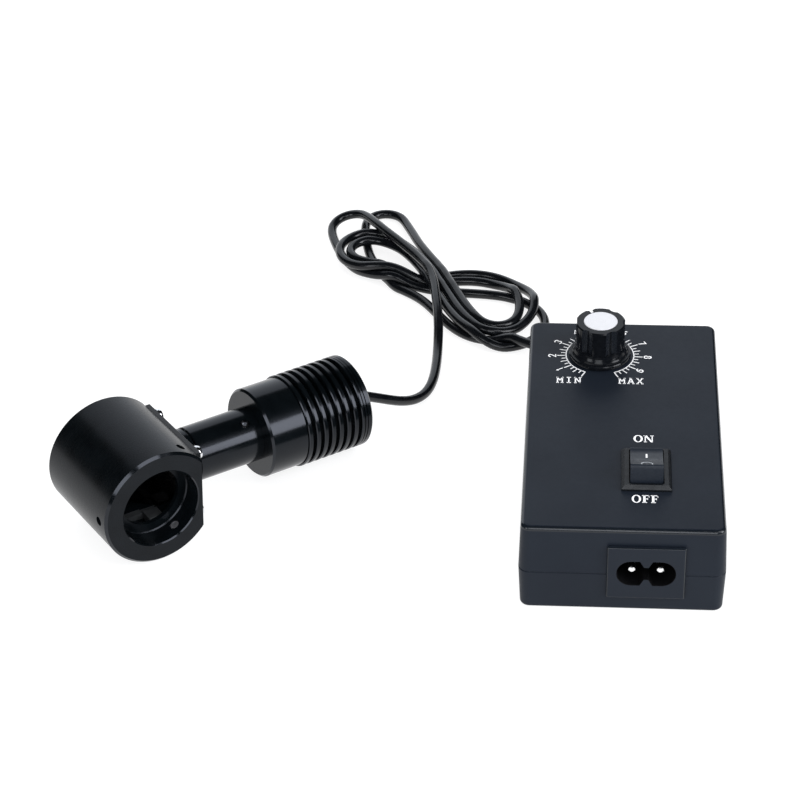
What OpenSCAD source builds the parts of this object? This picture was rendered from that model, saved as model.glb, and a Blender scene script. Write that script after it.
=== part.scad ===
// Coaxial illuminator: a beam-splitter head with a finned lamp on its side arm,
// joined by a thin cord to a dimmer supply with a dial, a rocker switch and a
// two-pin inlet. Millimetres, +Z up. The origin is the centre of the control
// box's base; the inlet end of the box faces -Y and the head lies at -X.

/* [Control box] */
// Width of the box at its parting line
box_w = 62.8; // [54:0.1:80]
// Length of the box at its parting line
box_l = 115; // [105:0.1:140]
// Height of the box
box_h = 30.5; // [29:0.1:45]
// Height of the parting line above the base
part_z = 13.9; // [12.5:0.1:18]
// Thickness of the box's walls
wall = 2.3; // [1.8:0.1:3]
// Radius of the box's upright corners
corner_r = 3.5; // [2.5:0.1:6]
// How far the upper walls lean in over their height
draft_top = 0.6; // [0:0.1:1.2]
// How far the lower walls lean in over their height
draft_base = 0.5; // [0:0.1:1.2]
// Rounding of the box's top edge
edge_r = 1.4; // [0.6:0.1:2]

/* [Dimmer knob] */
// Knob centre across the box
knob_x = -7.5; // [-15:0.1:15]
// Knob centre along the box
knob_y = 37; // [30:0.1:42]
// Diameter of the knob's skirt
skirt_d = 20.3; // [18:0.1:26]
// Diameter over the knob's grip
grip_d = 16.3; // [15.5:0.1:18]
// Height of the knob
knob_h = 12.9; // [12:0.1:18]
// Number of flutes round the grip
flutes = 6; // [5:1:10]
// Diameter of the bright cap
cap_d = 11; // [8:0.1:13]
// Pointer direction, anticlockwise from straight back
pointer_deg = 27; // [-155:1:155]

/* [Rocker switch] */
// Switch centre across the box
switch_x = 7.1; // [-12:0.1:12]
// Switch centre along the box
switch_y = -27.4; // [-30:0.1:-20]
// Width of the switch bezel
bezel_w = 15.4; // [15:0.1:17]
// Length of the switch bezel
bezel_l = 20.6; // [20.2:0.1:23]
// Tilt of the rocker either side of level
rock_deg = 15; // [8:0.5:15]
// Tilt of the contact lever either side of level
lever_deg = 8; // [4:0.5:8]

/* [Mains inlet] */
// Inlet centre across the box
inlet_x = 7.2; // [-10:0.1:10]
// Height of the inlet's centre
inlet_z = 15.2; // [13:0.1:16]
// Width of the inlet's bezel
inlet_w = 23.8; // [22.5:0.1:28]
// Height of the inlet's bezel
inlet_h = 19.3; // [17:0.1:22]
// Distance between the pins
pin_pitch = 8.6; // [8.6:0.1:8.6]
// Pin diameter
pin_d = 2.4; // [2.3:0.1:2.5]

/* [Head] */
// Diameter of the head
head_d = 39.4; // [36:0.1:44]
// Length of the head
head_len = 38.4; // [36:0.1:42]
// Diameter of the lens bore
lens_bore_d = 26.4; // [25:0.1:28]
// Depth of the lens bore
lens_bore_depth = 7.5; // [6.5:0.1:8]
// Distance of the flat from the head's axis
flat_x = 14.7; // [14.5:0.1:16]
// Distance of the arm's axis behind the front face
arm_y = 21.4; // [20:0.1:22]
// Front face centre of the head, across
head_x = -142.9; // [-180:0.1:-120]
// Front face centre of the head, along
head_y = -37.9; // [-60:0.1:0]
// How far the head is turned on the table
head_yaw = 37.9; // [0:0.1:90]

/* [Lamp arm] */
// Diameter of the arm's tube
tube_d = 18.3; // [17.5:0.1:20]
// Front of the lamp house, from the head's axis
collar_x0 = 44.8; // [40:0.1:60]
// Diameter of the lamp house's smooth collar
collar_d = 30; // [27:0.1:32]
// Length of the collar
collar_len = 13.3; // [11:0.1:18]
// Diameter over the fins
fin_d = 31.2; // [28:0.1:34]
// Distance from fin to fin
fin_pitch = 2.92; // [2.4:0.01:4]
// Number of grooves between fins
fin_grooves = 7; // [3:1:7]
// Depth of the grooves
groove_depth = 2.2; // [0.8:0.1:2.4]
// Rear end of the lamp house, from the head's axis
lamp_end = 82.7; // [80:0.1:95]

/* [Cord] */
// Diameter of the cord
cord_d = 3.4; // [3:0.1:4]
// Where the cord enters the box's back, across
gland_x = -14; // [-16:0.1:16]
// Where the cord enters the box's back, height
gland_z = 8.4; // [7:0.1:9]

/* [Hidden] */
$fn = 96;
floor_t = 2.4;
cav_w = box_w - 2 * wall;
cav_l = box_l - 2 * wall;
front_y = -box_l / 2;
back_y = box_l / 2;
boss = [22.8, 48.2];
board_z = 6.4;
board_post = [19.5, 20.5];
board_y = 15;
panel_in = box_h - wall;
knob_z = box_h + 0.4;
piv_z = box_h - 1;
lev_z = 20.4;
inlet_front = front_y - 1.1;
head_r = head_d / 2;
bore_r = lens_bore_d / 2;
plate_t = 1.8;
plate_x = flat_x + plate_t;
tube_r = tube_d / 2;
collar_r = collar_d / 2;
fin_r = fin_d / 2;
sink_x0 = collar_x0 + collar_len + 0.05;
land_w = 1.5;
end_bevel = 0.5;
grommet_x = lamp_end + 1.2;
cavity_r = 12.25;
cavity_y = lens_bore_depth + 1.6;
cavity_end = arm_y + 11.6;
plate_y = arm_y - 1.8;
// the arm dips until the lamp house's rear rim rests on the table
rest_x = lamp_end - end_bevel;
head_roll = asin(head_r / sqrt(rest_x * rest_x + fin_r * fin_r)) - atan2(fin_r, rest_x);
screw_at = [60, 180, 300];
screw_s = 4.4;
gland_y = back_y + 14.5;

black = [0.07, 0.075, 0.085];
case_grey = [0.17, 0.185, 0.21];
steel = [0.75, 0.76, 0.78];
brass = [0.75, 0.6, 0.3];
glass = [0.75, 0.85, 0.9, 0.5];

// a point given in the head's own axes (x along the arm, y into the head, z up)
function hp(p) =
    let (a = [p[0] * cos(head_roll) + p[2] * sin(head_roll), p[1],
              -p[0] * sin(head_roll) + p[2] * cos(head_roll)])
    [head_x + a[0] * cos(head_yaw) - a[1] * sin(head_yaw),
     head_y + a[0] * sin(head_yaw) + a[1] * cos(head_yaw),
     head_r + a[2]];

// cord from the lamp house to the bundle, then from the bundle to the box
lead_pts = [
    hp([grommet_x + 0.3, arm_y, 0]), hp([grommet_x + 3.1, arm_y, 0]),
    [-84.6, 34.8, 13.8], [-81.2, 37.4, 11.6], [-77.6, 40.4, 8.8], [-73.8, 44.3, 5.6],
    [-70.4, 48.4, 3.3], [-67.6, 52.8, 2.1], [-65.6, 57.6, 1.8], [-64.5, 64, 1.75],
    [-64.1, 72, 1.75], [-64.1, 79, 2], [-64.2, 85.5, 3.4], [-64.5, 92.5, 6],
    [-65.2, 100, 7.8], [-66.2, 107, 8.6]];
tail_pts = [
    [-41.4, 86.8, 3.2], [-37, 84.8, 4.8], [-33, 82, 5.6], [-29, 79.6, 5.9], [-25, 78.2, 6.4],
    [-21, 77.4, 7], [-17.5, 76.4, 7.7], [-15.6, 74.9, 8.1], [-14.4, 72.8, 8.3],
    [-14, gland_y + 0.02, gland_z]];

// ---------- shared shapes ----------

// one half of the case: a block with rounded corners, drafted walls, a rounded
// outer edge at z1 and a fine bevel at the parting line z0
module shell_block(z0, z1, r1, e) {
    s = sign(z1 - z0);
    prof = concat([[0, z0], [corner_r - 0.25, z0], [corner_r, z0 + s * 0.25]],
        [for (a = [0:18:90]) [r1 - e + e * cos(a), z1 - s * e + s * e * sin(a)]],
        [[0, z1]]);
    hull()
        for (sx = [-1, 1], sy = [-1, 1])
            translate([sx * (box_w / 2 - corner_r), sy * (box_l / 2 - corner_r), 0])
                rotate_extrude($fn = 32) polygon(prof);
}

module at_bosses() for (sx = [-1, 1], sy = [-1, 1])
    translate([sx * boss[0], sy * boss[1], 0]) children();

module at_board_posts() for (sx = [-1, 1], sy = [-1, 1])
    translate([sx * board_post[0], board_y + sy * board_post[1], 0]) children();

module inlet_cut() translate([inlet_x - 10.6, front_y - 2, inlet_z - 7.7])
    cube([21.2, 6, 15.4]);

// the head's own axes in the part's frame
module head_frame() translate([head_x, head_y, head_r])
    rotate([0, head_roll, head_yaw]) children();

// a cylinder along the head's axis
module ycyl(r, y0, y1) translate([0, y0, 0]) rotate([-90, 0, 0])
    cylinder(r = r, h = y1 - y0);

// a cylinder along the arm's axis
module xcyl(r, x0, x1) translate([x0, arm_y, 0]) rotate([0, 90, 0])
    cylinder(r = r, h = x1 - x0);

// a shape turned about the arm's axis, from [x, r] points
module xturn(pts) translate([0, arm_y, 0]) rotate([0, 90, 0])
    rotate_extrude() polygon([for (p = pts) [p[1], p[0]]]);

// grub screw along +Z, its tip at z = 0, with a hex socket in its far end
module grub(r, len) difference() {
    union() {
        cylinder(r = r, h = len - 0.2);
        translate([0, 0, len - 0.21]) cylinder(r1 = r, r2 = r - 0.2, h = 0.21);
    }
    translate([0, 0, len - min(1.4, len * 0.7)]) cylinder(r = 0.86, h = 3, $fn = 6);
}

// pan-head screw along -Z, its head's seat at z = 0
module pan_screw(r, len, hr, hh) difference() {
    union() {
        translate([0, 0, -len]) cylinder(r = r, h = len + 0.1);
        rotate_extrude() polygon([[0, 0], [hr, 0], [hr, hh * 0.45], [hr * 0.86, hh * 0.85],
            [hr * 0.6, hh], [0, hh]]);
    }
    for (a = [0, 90]) rotate([0, 0, a])
        translate([-hr * 0.55, -hr * 0.13, hh * 0.45]) cube([hr * 1.1, hr * 0.26, hh]);
}

// tube swept along route points, closed at both ends
module sweep(pts, r, sides = 8) {
    n = len(pts);
    function unit(v) = v / norm(v);
    function tan_at(i) = i == 0 ? unit(pts[1] - pts[0])
        : i == n - 1 ? unit(pts[n - 1] - pts[n - 2])
        : unit(unit(pts[i + 1] - pts[i]) + unit(pts[i] - pts[i - 1]));
    function side_at(t) = unit(cross(t, abs(t[2]) > 0.9 ? [0, 1, 0] : [0, 0, 1]));
    rings = [for (i = [0:n - 1]) let (t = tan_at(i), s = side_at(t), w = cross(s, t))
        for (k = [0:sides - 1]) pts[i] + r * (cos(360 * k / sides) * s + sin(360 * k / sides) * w)];
    faces = concat(
        [[for (k = [0:sides - 1]) k]],
        [for (i = [0:n - 2], k = [0:sides - 1]) let (a = i * sides + k, b = i * sides + (k + 1) % sides)
            each [[a, a + sides, b], [b, a + sides, b + sides]]],
        [[for (k = [sides - 1:-1:0]) (n - 1) * sides + k]]);
    polyhedron(points = rings, faces = faces, convexity = 8);
}

// ---------- control box ----------

module upper_case() color(case_grey) difference() {
    union() {
        difference() {
            shell_block(part_z, box_h, corner_r - draft_top, edge_r);
            translate([-cav_w / 2, -cav_l / 2, part_z - 1])
                cube([cav_w, cav_l, panel_in - part_z + 1]);
        }
        at_bosses() translate([0, 0, part_z + 0.1])
            cylinder(r = 3.5, h = panel_in - part_z + 0.1);
    }
    at_bosses() translate([0, 0, part_z - 1]) cylinder(r = 1.46, h = 11.6);
    translate([knob_x, knob_y, panel_in - 1]) cylinder(r = 3.7, h = wall + 2);
    translate([switch_x - 6.7, switch_y - 9.5, panel_in - 1]) cube([13.4, 19, wall + 2]);
    inlet_cut();
}

module lower_case() color(case_grey) difference() {
    union() {
        difference() {
            shell_block(part_z, 0, corner_r - draft_base, 1);
            translate([-cav_w / 2, -cav_l / 2, floor_t]) cube([cav_w, cav_l, part_z]);
        }
        at_bosses() translate([0, 0, floor_t - 0.2]) cylinder(r = 4, h = part_z - 0.1 - floor_t + 0.2);
        at_board_posts() translate([0, 0, floor_t - 0.2])
            cylinder(r = 2.6, h = board_z - floor_t + 0.2);
        // tongue that fits inside the upper half
        difference() {
            union() {
                translate([-cav_w / 2 - 0.2, -cav_l / 2 - 0.2, part_z - 2])
                    cube([cav_w + 0.4, cav_l + 0.4, 2]);
                translate([-cav_w / 2 + 0.15, -cav_l / 2 + 0.15, part_z - 0.5])
                    cube([cav_w - 0.3, cav_l - 0.3, 1.9]);
            }
            translate([-cav_w / 2 + 1.3, -cav_l / 2 + 1.3, part_z - 3])
                cube([cav_w - 2.6, cav_l - 2.6, 6]);
            translate([gland_x - 5, cav_l / 2 - 2, part_z - 2.5]) cube([10, 2, 4.5]);
            translate([inlet_x - 12.5, -cav_l / 2, part_z - 2.5]) cube([25, 2, 4.5]);
        }
    }
    at_bosses() {
        translate([0, 0, -1]) cylinder(r = 3.2, h = 8);
        translate([0, 0, 6]) cylinder(r = 1.7, h = part_z);
    }
    at_board_posts() translate([0, 0, floor_t + 0.3]) cylinder(r = 1.22, h = 8);
    inlet_cut();
    translate([gland_x, cav_l / 2 - 2, gland_z]) rotate([-90, 0, 0]) cylinder(r = 3.3, h = wall + 4);
}

module case_screws() color(steel) at_bosses() difference() {
    union() {
        translate([0, 0, 4.8]) cylinder(r = 2.8, h = 2.18);
        translate([0, 0, 6.9]) cylinder(r = 1.45, h = 16);
    }
    for (a = [45, 135]) rotate([0, 0, a]) translate([-1.6, -0.4, 4]) cube([3.2, 0.8, 2]);
}

// ---------- dimmer ----------

module at_knob(z = 0) translate([knob_x, knob_y, z]) children();

module dimmer_knob() color(black) at_knob(knob_z) difference() {
    union() {
        rotate_extrude() polygon([[0, 0], [skirt_d / 2 - 0.2, 0], [skirt_d / 2, 0.2],
            [skirt_d / 2, 1.1], [skirt_d / 2 - 0.25, 1.4], [skirt_d / 2 - 0.85, 1.5],
            [skirt_d / 2 - 1, 2], [skirt_d / 2 - 1.25, 2.35], [grip_d / 2 + 0.35, 3.2],
            [grip_d / 2 + 0.2, 3.9], [0, 3.9]]);
        translate([0, 0, 3.5]) cylinder(r = grip_d / 2, h = knob_h - 3.5 - 0.4);
        translate([0, 0, knob_h - 0.41]) cylinder(r1 = grip_d / 2, r2 = grip_d / 2 - 0.4, h = 0.41);
    }
    for (i = [0:flutes - 1]) rotate([0, 0, pointer_deg + i * 360 / flutes])
        translate([0, grip_d / 2 + 2, 4.35]) cylinder(r = 3, h = knob_h, $fn = 64);
    translate([0, 0, knob_h - 0.9]) cylinder(r = cap_d / 2 + 0.05, h = 2);
    translate([0, 0, -1]) cylinder(r = 6.6, h = 5.8);
    translate([0, 0, 4]) cylinder(r = 3.02, h = 7);
    rotate([0, 0, pointer_deg]) translate([-0.6, cap_d / 2 + 0.3, knob_h - 0.8]) cube([1.2, 4, 2]);
}

module knob_cap() color([0.9, 0.9, 0.91]) at_knob(knob_z + knob_h - 0.88)
    rotate_extrude() polygon([[0, 0], [cap_d / 2, 0], [cap_d / 2, 0.85], [cap_d / 2 - 0.2, 1.02],
        [0, 1.1]]);

module knob_pointer() color([0.95, 0.95, 0.95]) at_knob(knob_z + knob_h - 0.78)
    rotate([0, 0, pointer_deg]) translate([-0.57, cap_d / 2 + 0.33, 0]) cube([1.14, 1.25, 0.5]);

module pot_body() color([0.35, 0.36, 0.38]) at_knob() difference() {
    union() {
        translate([0, 0, panel_in - 7.8]) cylinder(r = 8.2, h = 7.78);
        translate([0, 0, panel_in - 0.1]) cylinder(r = 3.5, h = wall + 5.1);
        translate([-7, -11, panel_in - 7.8]) cube([14, 8, 1.2]);
    }
    translate([0, 0, panel_in - 6.2]) cylinder(r = 6.8, h = 4.5);
    translate([0, 0, panel_in - 3]) cylinder(r = 3.05, h = wall + 9);
}

module pot_track() color([0.1, 0.1, 0.1]) at_knob(panel_in - 6.18) difference() {
    cylinder(r = 6.6, h = 0.5);
    translate([0, 0, -1]) cylinder(r = 4.6, h = 3);
    translate([-1.2, -8, -1]) cube([2.4, 8, 3]);
}

module pot_terminals() color(steel) at_knob(panel_in - 6.58)
    for (dx = [-5, 0, 5]) translate([dx - 0.7, -15.5, 0]) cube([1.4, 7, 0.5]);

module pot_nut() color(steel) at_knob(box_h + 0.64) difference() {
    cylinder(r = 5.77, h = 2, $fn = 6);
    translate([0, 0, -1]) cylinder(r = 3.52, h = 4);
}

module pot_washer() color(steel) at_knob(box_h + 0.02) difference() {
    cylinder(r = 6, h = 0.6);
    translate([0, 0, -1]) cylinder(r = 3.6, h = 3);
}

module pot_shaft() color(steel) at_knob(panel_in - 5.4) union() {
    cylinder(r = 3, h = knob_z + 10.9 - panel_in + 5.4);
}

module pot_wiper() color(brass) at_knob(panel_in - 4.6) difference() {
    union() {
        cylinder(r = 4.2, h = 0.6);
        rotate([0, 0, pointer_deg]) translate([-0.9, 3, 0]) cube([1.8, 3.2, 0.6]);
    }
    translate([0, 0, -1]) cylinder(r = 3.02, h = 3);
}

// ---------- rocker switch ----------

module at_switch(z = 0) translate([switch_x, switch_y, z]) children();

module switch_frame() color(black) at_switch() difference() {
    union() {
        hull() {
            translate([-bezel_w / 2, -bezel_l / 2, box_h + 0.02]) cube([bezel_w, bezel_l, 0.7]);
            translate([-bezel_w / 2 + 1, -bezel_l / 2 + 0.8, box_h + 1.6])
                cube([bezel_w - 2, bezel_l - 1.6, 0.4]);
        }
        translate([-6.6, -9.4, 15.8]) cube([13.2, 18.8, box_h - 15.8 + 0.5]);
    }
    translate([-5.35, -8.75, 17.4]) cube([10.7, 17.5, 20]);
    translate([-7, 0, piv_z]) rotate([0, 90, 0]) cylinder(r = 1.25, h = 14);
    for (dy = [0, -5.3]) translate([-2.5, dy - 0.5, 15]) cube([5, 1, 3]);
}

// upper half of the rocker's outline, [along, up] from its pivot
rocker_top = [[7.4, -1.8], [8, 0.4], [7.62, 4.6], [7.5, 5.4], [7.35, 5.8], [7.1, 6.02], [6.85, 6],
    [6.5, 5.84], [5.9, 5.56], [5.2, 5.34], [4.4, 5.2], [1.2, 4.9], [0, 4.86]];

module rocker() color(black) at_switch(piv_z) rotate([-rock_deg, 0, 0]) difference() {
    union() {
        rotate([90, 0, 90]) translate([0, 0, -5.05]) linear_extrude(10.1)
            polygon(concat([[6.9, -2.3]], rocker_top,
                [for (i = [len(rocker_top) - 2:-1:0]) [-rocker_top[i][0], rocker_top[i][1]]],
                [[-6.9, -2.3]]));
        translate([-6.2, 0, 0]) rotate([0, 90, 0]) cylinder(r = 1.2, h = 12.4);
        translate([0, 0, -6.4]) cylinder(r = 1.9, h = 4.6);
    }
    translate([0, 0, -7]) cylinder(r = 1.25, h = 4.6);
}

module switch_plunger() color(brass) at_switch(piv_z) rotate([-rock_deg, 0, 0])
    rotate_extrude() polygon(concat([[0, -3], [1.2, -3]],
        [for (a = [0:10:80]) [1.2 * cos(a), -7 - 1.2 * sin(a)]], [[0, -8.2]]));

module switch_lever() color(brass) at_switch(lev_z) rotate([lever_deg, 0, 0]) union() {
    translate([-2.5, -6.5, 0]) cube([5, 13, 0.6]);
    translate([0, -5.3, -0.8]) cylinder(r = 1.2, h = 1);
    translate([-2.5, 0, 0]) rotate([0, 90, 0]) cylinder(r = 0.6, h = 5);
}

module switch_terminals() color(brass) at_switch() {
    translate([-2.4, -0.4, 7.5]) cube([4.8, 0.8, 12.2]);
    translate([-2.4, -5.7, 7.5]) cube([4.8, 0.8, 10.2]);
    translate([-2.4, -7.4, 17.45]) cube([4.8, 4.2, 0.6]);
    translate([0, -5.3, 18]) cylinder(r = 1.2, h = 0.75);
}

// ---------- mains inlet ----------

// figure-eight opening, centred, with a wedge in from each long side
module eight_outline(half_w, half_h) {
    c = half_w - half_h;
    polygon(concat(
        [for (a = [-90:7.5:90]) [c + half_h * cos(a), half_h * sin(a)]],
        [[2.05, half_h], [0.75, half_h - 2.25], [-0.75, half_h - 2.25], [-2.05, half_h]],
        [for (a = [90:7.5:270]) [-c + half_h * cos(a), half_h * sin(a)]],
        [[-2.05, -half_h], [-0.75, 2.25 - half_h], [0.75, 2.25 - half_h], [2.05, -half_h]]));
}

module inlet_housing() color(case_grey) difference() {
    union() {
        hull() {
            translate([inlet_x - inlet_w / 2, front_y - 0.6, inlet_z - inlet_h / 2])
                cube([inlet_w, 0.58, inlet_h]);
            translate([inlet_x - inlet_w / 2 + 0.4, inlet_front, inlet_z - inlet_h / 2 + 0.4])
                cube([inlet_w - 0.8, 0.5, inlet_h - 0.8]);
        }
        translate([inlet_x - 10.4, front_y - 0.3, inlet_z - 7.5]) cube([20.8, 13.6, 15]);
        // snap wings behind the wall
        for (s = [-1, 1]) translate([inlet_x + s * 10.3, front_y + wall + 0.15, inlet_z])
            rotate([0, 0, s > 0 ? 0 : 180]) mirror([0, s > 0 ? 0 : 1, 0])
                translate([0, 0, -3]) linear_extrude(6) polygon([[-0.4, 0], [1, 0], [0.1, 5], [-0.4, 5]]);
    }
    translate([inlet_x, inlet_front - 1, inlet_z]) rotate([-90, 0, 0])
        linear_extrude(12.5) eight_outline(8.9, 4.47);
    for (s = [-1, 1]) translate([inlet_x + s * pin_pitch / 2, front_y, inlet_z])
        rotate([-90, 0, 0]) cylinder(r = 0.92, h = 20);
}

module inlet_pins() color(steel) for (s = [-1, 1])
    translate([inlet_x + s * pin_pitch / 2, inlet_front + 1.9, inlet_z]) rotate([-90, 0, 0])
        rotate_extrude() polygon([[0, 0], [0.7, 0], [1, 0.12], [pin_d / 2, 0.5],
            [pin_d / 2, 9.3], [0.9, 9.3], [0.9, 14.5], [0, 14.5]]);

// ---------- supply board ----------

module circuit_board() color([0.08, 0.35, 0.2]) difference() {
    translate([-23, board_y - 24, board_z + 0.02]) cube([46, 48, 1.6]);
    at_board_posts() translate([0, 0, board_z - 1]) cylinder(r = 1.4, h = 4);
}

module board_screws() color(steel) at_board_posts()
    translate([0, 0, board_z + 1.64]) pan_screw(1.2, 5, 2.2, 1.5);

module at_board(x, y) translate([x, y, board_z + 1.64]) children();

module transformer_core() color([0.2, 0.19, 0.19]) at_board(10, 14) difference() {
    translate([-8, -4, 0]) cube([16, 8, 14]);
    for (s = [-1, 1]) translate([s * 4.2 - 1.6, -5, 2.5]) cube([3.2, 10, 9]);
}

module transformer_winding() color([0.85, 0.75, 0.25]) at_board(10, 14) difference() {
    translate([-5.7, -7.5, 2.7]) cube([11.4, 15, 8.6]);
    translate([-2.7, -4.1, 2]) cube([5.4, 8.2, 11]);
}

module can(r, h) rotate_extrude() polygon([[0, 0], [r, 0], [r, 1.6], [r - 0.35, 2], [r, 2.4],
    [r, h - 0.4], [r - 0.4, h], [0, h]]);

module input_capacitor() color([0.1, 0.12, 0.3]) at_board(-12, 3) can(5, 15);
module output_capacitor() color([0.1, 0.12, 0.3]) at_board(-13, 22) can(4, 11);

module driver_transistor() color([0.15, 0.15, 0.16]) at_board(12, 31) {
    translate([-5, -2.2, 3]) cube([10, 4.4, 9]);
    for (dx = [-2.5, 0, 2.5]) translate([dx - 0.4, -0.3, 0]) cube([0.8, 0.6, 3.2]);
}

module fuse() color(glass) translate([2, -4.5, board_z + 1.64 + 3]) rotate([0, 90, 0]) rotate_extrude()
    polygon([[0, -10], [2.6, -10], [2.6, -4.5], [2.3, -4.5], [2.3, 4.5], [2.6, 4.5], [2.6, 10], [0, 10]]);

module mains_wires() color([0.45, 0.25, 0.12]) {
    // pin to switch, pin to board, switch to board
    sweep([[11.5, front_y + 15.4, inlet_z], [11.5, -40.4, inlet_z], [11.5, -39.3, inlet_z - 1.3], [11, -38.2, 10], [9.5, -36.5, 7.5], [8.5, -34, 6.6],
        [8.5, -31.8, 6.3]], 0.7);
    sweep([[2.9, front_y + 15.4, inlet_z], [2.9, -40.4, inlet_z], [2.4, -39.2, inlet_z - 1.7], [0.5, -36, 8], [-2, -28, 6], [-4, -20, 6], [-6, -14, 6.5],
        [-7, -11, 8.6], [-7, -9.2, 10.8], [-7, -7.95, 11.3]], 0.7);
    sweep([[8.5, -26.2, 6], [8.8, -22, 6], [9.5, -17, 6.2], [12, -13, 7.4], [13.8, -11, 9.5], [14, -8.6, 11.4],
        [13.8, -6.5, 11.8]], 0.7);
}

module dimmer_wires() color([0.6, 0.15, 0.12]) for (k = [0:2])
    sweep([[knob_x - 5 + 5 * k, 21.2, 21.95], [knob_x - 5 + 4.4 * k, 18.6, 20.8], [knob_x - 3 + 3 * k, 16.6, 18],
        [knob_x - 2 + 2 * k, 15.6, 14], [knob_x - 2 + 2 * k, 15.2, 9]], 0.55);

module output_wires() color([0.6, 0.12, 0.1]) for (k = [0, 1])
    sweep([[gland_x - 0.8 + 1.6 * k, 51.6, gland_z], [gland_x - 0.8 + 1.8 * k, 47, gland_z + 0.8],
        [gland_x + 2 * k, 42.5, gland_z + 2.6], [gland_x + 2 * k, 39.5, gland_z + 3.2],
        [gland_x + 2 * k, 36.8, gland_z + 2.2], [gland_x + 2 * k, 35.8, gland_z + 0.4]], 0.55);

module cord_gland() color(black) translate([gland_x, 0, gland_z]) rotate([-90, 0, 0]) difference() {
    rotate_extrude() polygon([[0, 52], [4.2, 52], [4.2, cav_l / 2 - 0.05], [3.25, cav_l / 2 - 0.05],
        [3.25, back_y + 0.05], [4.6, back_y + 0.05], [4.6, back_y + 1.4], [3.9, back_y + 2.2],
        [3.7, back_y + 4], [3.1, back_y + 4.3], [3.1, back_y + 5.2], [3.45, back_y + 5.5],
        [3.3, back_y + 7.2], [2.75, back_y + 7.5], [2.75, back_y + 8.4], [3.05, back_y + 8.7],
        [2.9, back_y + 10.4], [2.45, back_y + 10.7], [2.45, back_y + 11.6], [2.7, back_y + 11.9],
        [2.45, gland_y], [0, gland_y]]);
    translate([0, 0, 51]) cylinder(r = cord_d / 2 + 0.03, h = 40);
}

// ---------- beam-splitter head ----------

module head_body() color(black) head_frame() difference() {
    rotate([-90, 0, 0]) rotate_extrude($fn = 160) polygon([[0, 0], [head_r - 0.8, 0], [head_r, 0.8],
        [head_r, head_len - 0.6], [head_r - 0.6, head_len], [0, head_len]]);
    translate([flat_x, -1, -head_r]) cube([head_r, head_len + 2, 2 * head_r]);
    rotate([-90, 0, 0]) rotate_extrude() polygon([[0, -1], [bore_r, -1], [bore_r, lens_bore_depth - 0.35],
        [bore_r - 0.35, lens_bore_depth], [0, lens_bore_depth]]);
    rotate([-90, 0, 0]) translate([0, 0, -0.1]) cylinder(r1 = bore_r + 0.45, r2 = bore_r - 0.05, h = 0.5);
    ycyl(10.1, lens_bore_depth - 1, cavity_y + 0.9);
    ycyl(cavity_r, cavity_y, head_len + 1);
    xcyl(8.06, 6, flat_x + 1);
    for (a = screw_at) translate([0, screw_s, 0]) rotate([0, 90 - a, 0])
        translate([0, 0, bore_r - 3]) cylinder(r = 1.5, h = 12);
    for (sy = [-1, 1], sz = [-1, 1]) translate([flat_x - 5, plate_y + sy * 12.5, sz * 10.8])
        rotate([0, 90, 0]) cylinder(r = 1.27, h = 8);
}

// flat floor and a slanted seat for the half mirror
module splitter_holder() color([0.12, 0.12, 0.13]) head_frame() difference() {
    intersection() {
        ycyl(cavity_r - 0.05, cavity_y + 0.1, cavity_end - 0.1);
        union() {
            translate([-9, cavity_y + 4.4, -13]) cube([9.2, 2.4, 3]);
            translate([-9, cavity_y + 6.7, -13]) cube([18, 16, 2.6]);
            translate([0.4, cavity_y + 0.1, -13]) cube([5, 8, 2.6]);
            translate([0.4, cavity_y + 0.1, -13]) cube([5, 4.8, 3.3]);
            translate([0, arm_y, 0]) rotate([0, 0, 45]) translate([0.7, -25, -13]) cube([2, 50, 26]);
        }
    }
    ycyl(9.2, 5, 35);
    xcyl(8, 0, 14);
}

module beam_splitter() color(glass) head_frame() intersection() {
    ycyl(cavity_r - 0.4, cavity_y + 0.4, cavity_end - 0.3);
    translate([0, arm_y, 0]) rotate([0, 0, 45]) translate([-0.45, -24, -9.9]) cube([1.1, 48, 19.8]);
}

module rear_ring() color(black) head_frame() difference() {
    ycyl(cavity_r - 0.05, cavity_end, head_len - 0.7);
    ycyl(10.4, 30, head_len + 1);
    translate([-14, head_len - 2, -0.7]) cube([28, 3, 1.4]);
}

module clamp_screw(a) color([0.2, 0.2, 0.21]) head_frame() translate([0, screw_s, 0]) rotate([0, 90 - a, 0])
    translate([0, 0, bore_r + 0.1]) grub(1.45, 4.6);

module clamp_screw_a() clamp_screw(screw_at[0]);
module clamp_screw_b() clamp_screw(screw_at[1]);
module clamp_screw_c() clamp_screw(screw_at[2]);

module side_plate() color(black) head_frame() difference() {
    translate([flat_x + 0.01, plate_y - 16, -13]) cube([plate_t - 0.01, 33, 26]);
    xcyl(8.06, flat_x - 1, plate_x + 1);
    for (sy = [-1, 1], sz = [-1, 1]) translate([flat_x - 1, plate_y + sy * 12.5, sz * 10.8])
        rotate([0, 90, 0]) cylinder(r = 1.4, h = 5);
}

module side_plate_screws() color(steel) head_frame()
    for (sy = [-1, 1], sz = [-1, 1]) translate([plate_x + 0.02, plate_y + sy * 12.5, sz * 10.8])
        rotate([0, 90, 0]) pan_screw(1.25, 6.2, 2.25, 1.7);

// ---------- lamp arm ----------

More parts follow.
